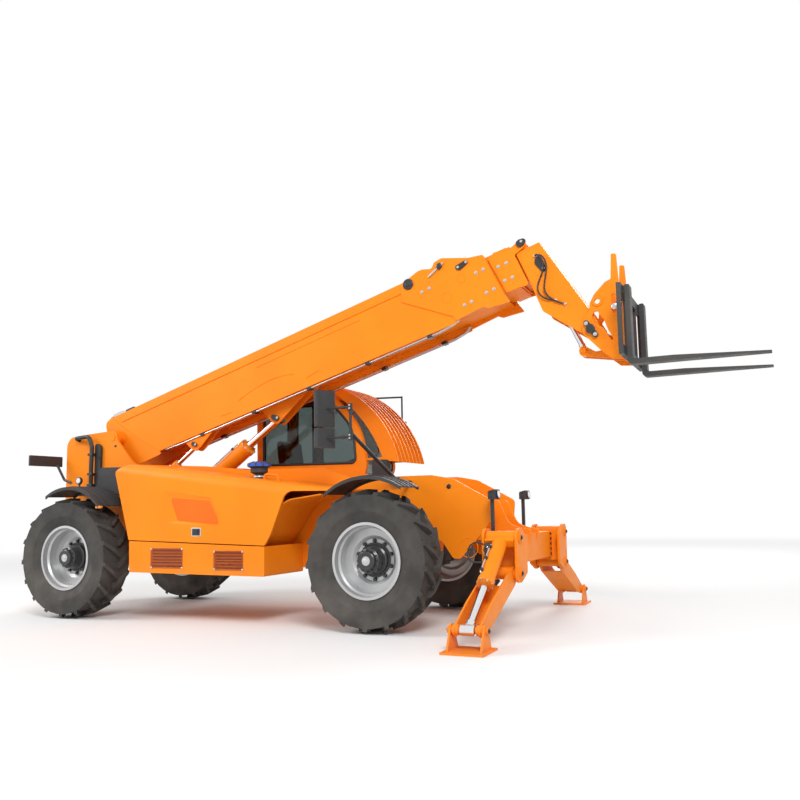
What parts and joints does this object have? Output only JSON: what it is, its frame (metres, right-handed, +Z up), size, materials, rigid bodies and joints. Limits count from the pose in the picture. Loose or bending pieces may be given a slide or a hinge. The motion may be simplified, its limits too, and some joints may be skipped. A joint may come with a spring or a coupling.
{
  "type": "telescopic handler",
  "caption": "Telescopic handler with a long three-section boom, pallet forks, side cab and engine hood, four steered wheels and front stabiliser legs set down.",
  "frame": {"origin": "on the ground, under the middle of the whole machine as parked", "axes": "+X forwards, towards the fork tips; +Y to the machine's left, the cab's side; +Z up"},
  "size_m": [8.623, 3.864, 3.9669],
  "materials": {
    "orange_paint": "gloss",
    "axle_paint": "satin",
    "engine_iron": "rough",
    "window_glass": "clear",
    "seat_fabric": "woven",
    "black_plastic": "matt",
    "tyre_rubber": "matt",
    "silver_paint": "satin",
    "chrome_rod": "polished",
    "dark_steel": "satin"
  },
  "bodies": {
    "chassis": {"chassis_frame": "orange_paint", "front_crossbeam": "orange_paint", "axles": "axle_paint", "engine_block": "engine_iron", "engine_pod": "orange_paint", "wheel_arch_liner": "orange_paint", "cab_shell": "orange_paint", "cab_glass": "window_glass", "front_guard": "orange_paint", "seat": "seat_fabric", "control_console": "black_plastic", "side_tank": "orange_paint", "mudguards": "black_plastic", "mirrors": "black_plastic", "work_lights": "black_plastic", "tail_lights": "black_plastic", "rear_side_boxes": "black_plastic"},
    "cab_door": {"cab_door": "orange_paint", "cab_door_glass": "window_glass"},
    "engine_hood": {"engine_hood": "orange_paint", "air_precleaner": "black_plastic"},
    "knuckle_front_left": {"knuckle_front_left": "axle_paint"},
    "wheel_front_left": {"tyre_front_left": "tyre_rubber", "wheel_front_left": "silver_paint"},
    "knuckle_front_right": {"knuckle_front_right": "axle_paint"},
    "wheel_front_right": {"tyre_front_right": "tyre_rubber", "wheel_front_right": "silver_paint"},
    "knuckle_rear_left": {"knuckle_rear_left": "axle_paint"},
    "wheel_rear_left": {"tyre_rear_left": "tyre_rubber", "wheel_rear_left": "silver_paint"},
    "knuckle_rear_right": {"knuckle_rear_right": "axle_paint"},
    "wheel_rear_right": {"tyre_rear_right": "tyre_rubber", "wheel_rear_right": "silver_paint"},
    "boom_outer": {"boom_outer": "orange_paint"},
    "boom_mid": {"boom_mid": "orange_paint"},
    "boom_inner": {"boom_inner": "orange_paint"},
    "lift_barrel": {"lift_barrel": "orange_paint"},
    "lift_rod": {"lift_rod": "chrome_rod"},
    "compensation_barrel": {"compensation_barrel": "orange_paint"},
    "compensation_rod": {"compensation_rod": "chrome_rod"},
    "tilt_barrel": {"tilt_barrel": "orange_paint"},
    "tilt_rod": {"tilt_rod": "chrome_rod"},
    "tool": {"coupler": "orange_paint", "fork_carriage": "dark_steel", "forks": "dark_steel"},
    "stabiliser_leg_left": {"stabiliser_leg_left": "orange_paint"},
    "stabiliser_barrel_left": {"stabiliser_barrel_left": "orange_paint"},
    "stabiliser_rod_left": {"stabiliser_rod_left": "chrome_rod"},
    "stabiliser_foot_left": {"stabiliser_foot_left": "orange_paint"},
    "stabiliser_leg_right": {"stabiliser_leg_right": "orange_paint"},
    "stabiliser_barrel_right": {"stabiliser_barrel_right": "orange_paint"},
    "stabiliser_rod_right": {"stabiliser_rod_right": "chrome_rod"},
    "stabiliser_foot_right": {"stabiliser_foot_right": "orange_paint"}
  },
  "joints": [
    {"name": "steer_front_left", "type": "hinge", "parent": "chassis", "child": "knuckle_front_left", "pos_m": [0.6135, 0.76, 0.693], "axis": [0, 0, 1], "range_deg": [-32, 32]},
    {"name": "wheel_spin_front_left", "type": "hinge", "parent": "knuckle_front_left", "child": "wheel_front_left", "pos_m": [0.6135, 1.005, 0.693], "axis": [0, 1, 0], "continuous": true},
    {"name": "steer_front_right", "type": "hinge", "parent": "chassis", "child": "knuckle_front_right", "pos_m": [0.6135, -0.76, 0.693], "axis": [0, 0, 1], "range_deg": [-32.05, 32.05]},
    {"name": "wheel_spin_front_right", "type": "hinge", "parent": "knuckle_front_right", "child": "wheel_front_right", "pos_m": [0.6135, -1.005, 0.693], "axis": [0, 1, 0], "continuous": true},
    {"name": "steer_rear_left", "type": "hinge", "parent": "chassis", "child": "knuckle_rear_left", "pos_m": [-3.3615, 0.76, 0.693], "axis": [0, 0, 1], "range_deg": [-32, 32]},
    {"name": "wheel_spin_rear_left", "type": "hinge", "parent": "knuckle_rear_left", "child": "wheel_rear_left", "pos_m": [-3.3615, 1.005, 0.693], "axis": [0, 1, 0], "continuous": true},
    {"name": "steer_rear_right", "type": "hinge", "parent": "chassis", "child": "knuckle_rear_right", "pos_m": [-3.3615, -0.76, 0.693], "axis": [0, 0, 1], "range_deg": [-32.05, 32.05]},
    {"name": "wheel_spin_rear_right", "type": "hinge", "parent": "knuckle_rear_right", "child": "wheel_rear_right", "pos_m": [-3.3615, -1.005, 0.693], "axis": [0, 1, 0], "continuous": true},
    {"name": "boom_lift", "type": "hinge", "parent": "chassis", "child": "boom_outer", "pos_m": [-3.4565, 0, 2.16], "axis": [0, -1, 0], "range_deg": [-18.3, 50]},
    {"name": "boom_extend", "type": "slide", "parent": "boom_outer", "child": "boom_mid", "axis": [0.9598, 0, 0.2807], "range_m": [0, 4.3]},
    {"name": "boom_extend_inner", "type": "slide", "parent": "boom_mid", "child": "boom_inner", "axis": [0.9598, 0, 0.2807], "range_m": [0, 4.301]},
    {"name": "tool_tilt", "type": "hinge", "parent": "boom_inner", "child": "tool", "pos_m": [2.67477, 0, 2.92666], "axis": [0, 1, 0], "range_deg": [-15, 60]},
    {"name": "lift_barrel_swing", "type": "hinge", "parent": "chassis", "child": "lift_barrel", "pos_m": [-2.9865, 0, 1.02], "axis": [0, -1, 0], "range_deg": [-14.56, 39.7]},
    {"name": "lift_rod_slide", "type": "slide", "parent": "lift_barrel", "child": "lift_rod", "axis": [0.8165, 0, 0.5773], "range_m": [-0.3501, 0.9547]},
    {"name": "compensation_barrel_swing", "type": "hinge", "parent": "chassis", "child": "compensation_barrel", "pos_m": [-3.4365, -0.16, 1.17], "axis": [0, -1, 0], "range_deg": [-10.69, 29.12]},
    {"name": "compensation_rod_slide", "type": "slide", "parent": "compensation_barrel", "child": "compensation_rod", "axis": [0.8073, 0, 0.5901], "range_m": [-0.2239, 0.61]},
    {"name": "tilt_barrel_swing", "type": "hinge", "parent": "boom_inner", "child": "tilt_barrel", "pos_m": [2.1761, 0, 3.59871], "axis": [0, 1, 0], "range_deg": [-0.75, 2.86]},
    {"name": "tilt_rod_slide", "type": "slide", "parent": "tilt_barrel", "child": "tilt_rod", "axis": [0.4107, 0, -0.9118], "range_m": [-0.2071, 0.0525]},
    {"name": "stabiliser_leg_left_raise", "type": "hinge", "parent": "chassis", "child": "stabiliser_leg_left", "pos_m": [1.8815, 0.83, 0.57], "axis": [1, 0, 0], "range_deg": [0, 82]},
    {"name": "stabiliser_left_barrel_swing", "type": "hinge", "parent": "chassis", "child": "stabiliser_barrel_left", "pos_m": [1.8815, 0.83, 0.9], "axis": [1, 0, 0], "range_deg": [-0.05, 79.79]},
    {"name": "stabiliser_left_rod_slide", "type": "slide", "parent": "stabiliser_barrel_left", "child": "stabiliser_rod_left", "axis": [0, 0.7891, -0.6142], "range_m": [-0.4345, 0.001]},
    {"name": "stabiliser_foot_left_tip", "type": "hinge", "parent": "stabiliser_leg_left", "child": "stabiliser_foot_left", "pos_m": [1.8815, 1.755, 0.18], "axis": [1, 0, 0], "range_deg": [-15, 15]},
    {"name": "stabiliser_leg_right_raise", "type": "hinge", "parent": "chassis", "child": "stabiliser_leg_right", "pos_m": [1.8815, -0.83, 0.57], "axis": [-1, 0, 0], "range_deg": [0, 82]},
    {"name": "stabiliser_right_barrel_swing", "type": "hinge", "parent": "chassis", "child": "stabiliser_barrel_right", "pos_m": [1.8815, -0.83, 0.9], "axis": [-1, 0, 0], "range_deg": [-0.05, 79.79]},
    {"name": "stabiliser_right_rod_slide", "type": "slide", "parent": "stabiliser_barrel_right", "child": "stabiliser_rod_right", "axis": [0, -0.7891, -0.6142], "range_m": [-0.4345, 0.001]},
    {"name": "stabiliser_foot_right_tip", "type": "hinge", "parent": "stabiliser_leg_right", "child": "stabiliser_foot_right", "pos_m": [1.8815, -1.755, 0.18], "axis": [-1, 0, 0], "range_deg": [-15, 15]},
    {"name": "cab_door_swing", "type": "hinge", "parent": "chassis", "child": "cab_door", "pos_m": [-1.3395, 1.177, 1.8], "axis": [0, 0, 1], "range_deg": [0, 75]},
    {"name": "engine_hood_lift", "type": "hinge", "parent": "chassis", "child": "engine_hood", "pos_m": [-1.3865, -0.4, 1.59745], "axis": [-0.9915, 0, 0.1299], "range_deg": [0, 55]}
  ],
  "couplings": [
    {"joint": "steer_front_right", "follows": "steer_front_left", "ratio": 1},
    {"joint": "steer_rear_right", "follows": "steer_rear_left", "ratio": 1},
    {"joint": "boom_extend_inner", "follows": "boom_extend", "ratio": 1},
    {"joint": "lift_barrel_swing", "follows": "boom_lift", "ratio": 0.793},
    {"joint": "lift_rod_slide", "follows": "boom_lift", "m_per_rad": 1.0929},
    {"joint": "compensation_barrel_swing", "follows": "boom_lift", "ratio": 0.5814},
    {"joint": "compensation_rod_slide", "follows": "boom_lift", "m_per_rad": 0.6979},
    {"joint": "tilt_barrel_swing", "follows": "tool_tilt", "ratio": 0.0468},
    {"joint": "tilt_rod_slide", "follows": "tool_tilt", "m_per_rad": -0.1968},
    {"joint": "stabiliser_left_barrel_swing", "follows": "stabiliser_leg_left_raise", "ratio": 0.9724},
    {"joint": "stabiliser_left_rod_slide", "follows": "stabiliser_leg_left_raise", "m_per_rad": -0.3029},
    {"joint": "stabiliser_right_barrel_swing", "follows": "stabiliser_leg_right_raise", "ratio": 0.9724},
    {"joint": "stabiliser_right_rod_slide", "follows": "stabiliser_leg_right_raise", "m_per_rad": -0.3029}
  ]
}
